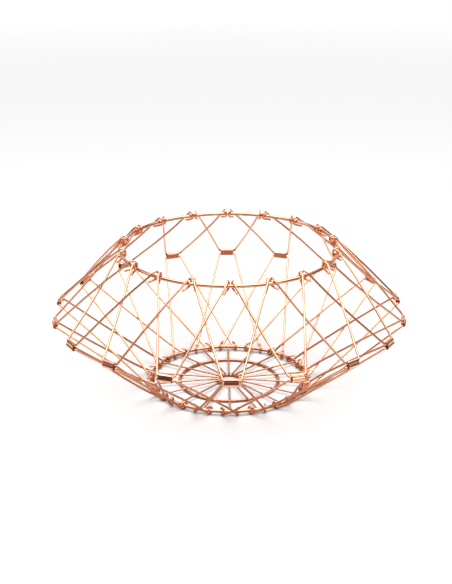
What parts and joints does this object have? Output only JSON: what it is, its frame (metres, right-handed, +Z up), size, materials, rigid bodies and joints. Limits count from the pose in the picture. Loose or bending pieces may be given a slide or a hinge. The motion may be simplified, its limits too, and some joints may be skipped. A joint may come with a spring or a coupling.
{
  "type": "folding wire fruit basket",
  "caption": "Round open fruit basket of two wire rings joined by two tiers of hinged wire frames, on a base grid of spokes; it folds flat.",
  "frame": {"origin": "on the surface the basket stands on, under the middle of the bottom ring", "axes": "+Z up along the basket's axis; -Y towards sector 0, the front"},
  "size_m": [0.2368, 0.2386, 0.1015],
  "materials": {
    "ring_wire": "polished copper plating on steel wire",
    "frame_wire": "polished copper plating on steel wire",
    "base_wire": "duller copper plating on thin steel wire",
    "sleeve_sheet": "polished copper plating on rolled steel sheet"
  },
  "bodies": {
    "bottom_ring": {"bottom_ring": "ring_wire", "base_grid": "base_wire"},
    "lower_frame_00": {"lower_frame_00": "frame_wire", "sleeve_00": "sleeve_sheet"},
    "lower_frame_01": {"lower_frame_01": "frame_wire", "sleeve_01": "sleeve_sheet"},
    "lower_frame_02": {"lower_frame_02": "frame_wire", "sleeve_02": "sleeve_sheet"},
    "lower_frame_03": {"lower_frame_03": "frame_wire", "sleeve_03": "sleeve_sheet"},
    "lower_frame_04": {"lower_frame_04": "frame_wire", "sleeve_04": "sleeve_sheet"},
    "lower_frame_05": {"lower_frame_05": "frame_wire", "sleeve_05": "sleeve_sheet"},
    "lower_frame_06": {"lower_frame_06": "frame_wire", "sleeve_06": "sleeve_sheet"},
    "lower_frame_07": {"lower_frame_07": "frame_wire", "sleeve_07": "sleeve_sheet"},
    "lower_frame_08": {"lower_frame_08": "frame_wire", "sleeve_08": "sleeve_sheet"},
    "lower_frame_09": {"lower_frame_09": "frame_wire", "sleeve_09": "sleeve_sheet"},
    "lower_frame_10": {"lower_frame_10": "frame_wire", "sleeve_10": "sleeve_sheet"},
    "lower_frame_11": {"lower_frame_11": "frame_wire", "sleeve_11": "sleeve_sheet"},
    "lower_frame_12": {"lower_frame_12": "frame_wire", "sleeve_12": "sleeve_sheet"},
    "lower_frame_13": {"lower_frame_13": "frame_wire", "sleeve_13": "sleeve_sheet"},
    "lower_frame_14": {"lower_frame_14": "frame_wire", "sleeve_14": "sleeve_sheet"},
    "lower_frame_15": {"lower_frame_15": "frame_wire", "sleeve_15": "sleeve_sheet"},
    "lower_frame_16": {"lower_frame_16": "frame_wire", "sleeve_16": "sleeve_sheet"},
    "lower_frame_17": {"lower_frame_17": "frame_wire", "sleeve_17": "sleeve_sheet"},
    "upper_frame_00": {"upper_frame_00": "frame_wire"},
    "upper_frame_01": {"upper_frame_01": "frame_wire"},
    "upper_frame_02": {"upper_frame_02": "frame_wire"},
    "upper_frame_03": {"upper_frame_03": "frame_wire"},
    "upper_frame_04": {"upper_frame_04": "frame_wire"},
    "upper_frame_05": {"upper_frame_05": "frame_wire"},
    "upper_frame_06": {"upper_frame_06": "frame_wire"},
    "upper_frame_07": {"upper_frame_07": "frame_wire"},
    "upper_frame_08": {"upper_frame_08": "frame_wire"},
    "upper_frame_09": {"upper_frame_09": "frame_wire"},
    "upper_frame_10": {"upper_frame_10": "frame_wire"},
    "upper_frame_11": {"upper_frame_11": "frame_wire"},
    "upper_frame_12": {"upper_frame_12": "frame_wire"},
    "upper_frame_13": {"upper_frame_13": "frame_wire"},
    "upper_frame_14": {"upper_frame_14": "frame_wire"},
    "upper_frame_15": {"upper_frame_15": "frame_wire"},
    "upper_frame_16": {"upper_frame_16": "frame_wire"},
    "upper_frame_17": {"upper_frame_17": "frame_wire"},
    "top_ring": {"top_ring": "ring_wire"}
  },
  "joints": [
    {"name": "fold", "type": "hinge", "parent": "bottom_ring", "child": "lower_frame_00", "pos_m": [0, -0.04874, 0.00301], "axis": [1, 0, 0], "range_deg": [-20, 32.5]},
    {"name": "upper_hinge_00", "type": "hinge", "parent": "lower_frame_00", "child": "upper_frame_00", "pos_m": [0, -0.118, 0.05427], "axis": [1, 0, 0], "range_deg": [-70.79, 43.6]},
    {"name": "lower_hinge_01", "type": "hinge", "parent": "bottom_ring", "child": "lower_frame_01", "pos_m": [0.01667, -0.0458, 0.00301], "axis": [0.9397, 0.342, 0], "range_deg": [-20.1, 32.6]},
    {"name": "upper_hinge_01", "type": "hinge", "parent": "lower_frame_01", "child": "upper_frame_01", "pos_m": [0.04036, -0.11088, 0.05427], "axis": [0.9397, 0.342, 0], "range_deg": [-70.79, 43.6]},
    {"name": "lower_hinge_02", "type": "hinge", "parent": "bottom_ring", "child": "lower_frame_02", "pos_m": [0.03133, -0.03734, 0.00301], "axis": [0.766, 0.6428, 0], "range_deg": [-20.1, 32.6]},
    {"name": "upper_hinge_02", "type": "hinge", "parent": "lower_frame_02", "child": "upper_frame_02", "pos_m": [0.07585, -0.09039, 0.05427], "axis": [0.766, 0.6428, 0], "range_deg": [-70.79, 43.6]},
    {"name": "lower_hinge_03", "type": "hinge", "parent": "bottom_ring", "child": "lower_frame_03", "pos_m": [0.04221, -0.02437, 0.00301], "axis": [0.5, 0.866, 0], "range_deg": [-20.1, 32.6]},
    {"name": "upper_hinge_03", "type": "hinge", "parent": "lower_frame_03", "child": "upper_frame_03", "pos_m": [0.10219, -0.059, 0.05427], "axis": [0.5, 0.866, 0], "range_deg": [-70.79, 43.6]},
    {"name": "lower_hinge_04", "type": "hinge", "parent": "bottom_ring", "child": "lower_frame_04", "pos_m": [0.048, -0.00846, 0.00301], "axis": [0.1736, 0.9848, 0], "range_deg": [-20.1, 32.6]},
    {"name": "upper_hinge_04", "type": "hinge", "parent": "lower_frame_04", "child": "upper_frame_04", "pos_m": [0.11621, -0.02049, 0.05427], "axis": [0.1736, 0.9848, 0], "range_deg": [-70.79, 43.6]},
    {"name": "lower_hinge_05", "type": "hinge", "parent": "bottom_ring", "child": "lower_frame_05", "pos_m": [0.048, 0.00846, 0.00301], "axis": [-0.1736, 0.9848, 0], "range_deg": [-20.1, 32.6]},
    {"name": "upper_hinge_05", "type": "hinge", "parent": "lower_frame_05", "child": "upper_frame_05", "pos_m": [0.11621, 0.02049, 0.05427], "axis": [-0.1736, 0.9848, 0], "range_deg": [-70.79, 43.6]},
    {"name": "lower_hinge_06", "type": "hinge", "parent": "bottom_ring", "child": "lower_frame_06", "pos_m": [0.04221, 0.02437, 0.00301], "axis": [-0.5, 0.866, 0], "range_deg": [-20.1, 32.6]},
    {"name": "upper_hinge_06", "type": "hinge", "parent": "lower_frame_06", "child": "upper_frame_06", "pos_m": [0.10219, 0.059, 0.05427], "axis": [-0.5, 0.866, 0], "range_deg": [-70.79, 43.6]},
    {"name": "lower_hinge_07", "type": "hinge", "parent": "bottom_ring", "child": "lower_frame_07", "pos_m": [0.03133, 0.03734, 0.00301], "axis": [-0.766, 0.6428, 0], "range_deg": [-20.1, 32.6]},
    {"name": "upper_hinge_07", "type": "hinge", "parent": "lower_frame_07", "child": "upper_frame_07", "pos_m": [0.07585, 0.09039, 0.05427], "axis": [-0.766, 0.6428, 0], "range_deg": [-70.79, 43.6]},
    {"name": "lower_hinge_08", "type": "hinge", "parent": "bottom_ring", "child": "lower_frame_08", "pos_m": [0.01667, 0.0458, 0.00301], "axis": [-0.9397, 0.342, 0], "range_deg": [-20.1, 32.6]},
    {"name": "upper_hinge_08", "type": "hinge", "parent": "lower_frame_08", "child": "upper_frame_08", "pos_m": [0.04036, 0.11088, 0.05427], "axis": [-0.9397, 0.342, 0], "range_deg": [-70.79, 43.6]},
    {"name": "lower_hinge_09", "type": "hinge", "parent": "bottom_ring", "child": "lower_frame_09", "pos_m": [0, 0.04874, 0.00301], "axis": [-1, 0, 0], "range_deg": [-20.1, 32.6]},
    {"name": "upper_hinge_09", "type": "hinge", "parent": "lower_frame_09", "child": "upper_frame_09", "pos_m": [0, 0.118, 0.05427], "axis": [-1, 0, 0], "range_deg": [-70.79, 43.6]},
    {"name": "lower_hinge_10", "type": "hinge", "parent": "bottom_ring", "child": "lower_frame_10", "pos_m": [-0.01667, 0.0458, 0.00301], "axis": [-0.9397, -0.342, 0], "range_deg": [-20.1, 32.6]},
    {"name": "upper_hinge_10", "type": "hinge", "parent": "lower_frame_10", "child": "upper_frame_10", "pos_m": [-0.04036, 0.11088, 0.05427], "axis": [-0.9397, -0.342, 0], "range_deg": [-70.79, 43.6]},
    {"name": "lower_hinge_11", "type": "hinge", "parent": "bottom_ring", "child": "lower_frame_11", "pos_m": [-0.03133, 0.03734, 0.00301], "axis": [-0.766, -0.6428, 0], "range_deg": [-20.1, 32.6]},
    {"name": "upper_hinge_11", "type": "hinge", "parent": "lower_frame_11", "child": "upper_frame_11", "pos_m": [-0.07585, 0.09039, 0.05427], "axis": [-0.766, -0.6428, 0], "range_deg": [-70.79, 43.6]},
    {"name": "lower_hinge_12", "type": "hinge", "parent": "bottom_ring", "child": "lower_frame_12", "pos_m": [-0.04221, 0.02437, 0.00301], "axis": [-0.5, -0.866, 0], "range_deg": [-20.1, 32.6]},
    {"name": "upper_hinge_12", "type": "hinge", "parent": "lower_frame_12", "child": "upper_frame_12", "pos_m": [-0.10219, 0.059, 0.05427], "axis": [-0.5, -0.866, 0], "range_deg": [-70.79, 43.6]},
    {"name": "lower_hinge_13", "type": "hinge", "parent": "bottom_ring", "child": "lower_frame_13", "pos_m": [-0.048, 0.00846, 0.00301], "axis": [-0.1736, -0.9848, 0], "range_deg": [-20.1, 32.6]},
    {"name": "upper_hinge_13", "type": "hinge", "parent": "lower_frame_13", "child": "upper_frame_13", "pos_m": [-0.11621, 0.02049, 0.05427], "axis": [-0.1736, -0.9848, 0], "range_deg": [-70.79, 43.6]},
    {"name": "lower_hinge_14", "type": "hinge", "parent": "bottom_ring", "child": "lower_frame_14", "pos_m": [-0.048, -0.00846, 0.00301], "axis": [0.1736, -0.9848, 0], "range_deg": [-20.1, 32.6]},
    {"name": "upper_hinge_14", "type": "hinge", "parent": "lower_frame_14", "child": "upper_frame_14", "pos_m": [-0.11621, -0.02049, 0.05427], "axis": [0.1736, -0.9848, 0], "range_deg": [-70.79, 43.6]},
    {"name": "lower_hinge_15", "type": "hinge", "parent": "bottom_ring", "child": "lower_frame_15", "pos_m": [-0.04221, -0.02437, 0.00301], "axis": [0.5, -0.866, 0], "range_deg": [-20.1, 32.6]},
    {"name": "upper_hinge_15", "type": "hinge", "parent": "lower_frame_15", "child": "upper_frame_15", "pos_m": [-0.10219, -0.059, 0.05427], "axis": [0.5, -0.866, 0], "range_deg": [-70.79, 43.6]},
    {"name": "lower_hinge_16", "type": "hinge", "parent": "bottom_ring", "child": "lower_frame_16", "pos_m": [-0.03133, -0.03734, 0.00301], "axis": [0.766, -0.6428, 0], "range_deg": [-20.1, 32.6]},
    {"name": "upper_hinge_16", "type": "hinge", "parent": "lower_frame_16", "child": "upper_frame_16", "pos_m": [-0.07585, -0.09039, 0.05427], "axis": [0.766, -0.6428, 0], "range_deg": [-70.79, 43.6]},
    {"name": "lower_hinge_17", "type": "hinge", "parent": "bottom_ring", "child": "lower_frame_17", "pos_m": [-0.01667, -0.0458, 0.00301], "axis": [0.9397, -0.342, 0], "range_deg": [-20.1, 32.6]},
    {"name": "upper_hinge_17", "type": "hinge", "parent": "lower_frame_17", "child": "upper_frame_17", "pos_m": [-0.04036, -0.11088, 0.05427], "axis": [0.9397, -0.342, 0], "range_deg": [-70.79, 43.6]},
    {"name": "top_ring_hinge", "type": "hinge", "parent": "upper_frame_00", "child": "top_ring", "pos_m": [0, -0.06882, 0.09838], "axis": [1, 0, 0], "range_deg": [-23.6, 38.29]}
  ],
  "couplings": [
    {"joint": "upper_hinge_00", "follows": "fold", "ratio": -2.175},
    {"joint": "lower_hinge_01", "follows": "fold", "ratio": 1},
    {"joint": "upper_hinge_01", "follows": "fold", "ratio": -2.175},
    {"joint": "lower_hinge_02", "follows": "fold", "ratio": 1},
    {"joint": "upper_hinge_02", "follows": "fold", "ratio": -2.175},
    {"joint": "lower_hinge_03", "follows": "fold", "ratio": 1},
    {"joint": "upper_hinge_03", "follows": "fold", "ratio": -2.175},
    {"joint": "lower_hinge_04", "follows": "fold", "ratio": 1},
    {"joint": "upper_hinge_04", "follows": "fold", "ratio": -2.175},
    {"joint": "lower_hinge_05", "follows": "fold", "ratio": 1},
    {"joint": "upper_hinge_05", "follows": "fold", "ratio": -2.175},
    {"joint": "lower_hinge_06", "follows": "fold", "ratio": 1},
    {"joint": "upper_hinge_06", "follows": "fold", "ratio": -2.175},
    {"joint": "lower_hinge_07", "follows": "fold", "ratio": 1},
    {"joint": "upper_hinge_07", "follows": "fold", "ratio": -2.175},
    {"joint": "lower_hinge_08", "follows": "fold", "ratio": 1},
    {"joint": "upper_hinge_08", "follows": "fold", "ratio": -2.175},
    {"joint": "lower_hinge_09", "follows": "fold", "ratio": 1},
    {"joint": "upper_hinge_09", "follows": "fold", "ratio": -2.175},
    {"joint": "lower_hinge_10", "follows": "fold", "ratio": 1},
    {"joint": "upper_hinge_10", "follows": "fold", "ratio": -2.175},
    {"joint": "lower_hinge_11", "follows": "fold", "ratio": 1},
    {"joint": "upper_hinge_11", "follows": "fold", "ratio": -2.175},
    {"joint": "lower_hinge_12", "follows": "fold", "ratio": 1},
    {"joint": "upper_hinge_12", "follows": "fold", "ratio": -2.175},
    {"joint": "lower_hinge_13", "follows": "fold", "ratio": 1},
    {"joint": "upper_hinge_13", "follows": "fold", "ratio": -2.175},
    {"joint": "lower_hinge_14", "follows": "fold", "ratio": 1},
    {"joint": "upper_hinge_14", "follows": "fold", "ratio": -2.175},
    {"joint": "lower_hinge_15", "follows": "fold", "ratio": 1},
    {"joint": "upper_hinge_15", "follows": "fold", "ratio": -2.175},
    {"joint": "lower_hinge_16", "follows": "fold", "ratio": 1},
    {"joint": "upper_hinge_16", "follows": "fold", "ratio": -2.175},
    {"joint": "lower_hinge_17", "follows": "fold", "ratio": 1},
    {"joint": "upper_hinge_17", "follows": "fold", "ratio": -2.175},
    {"joint": "top_ring_hinge", "follows": "fold", "ratio": 1.175}
  ]
}
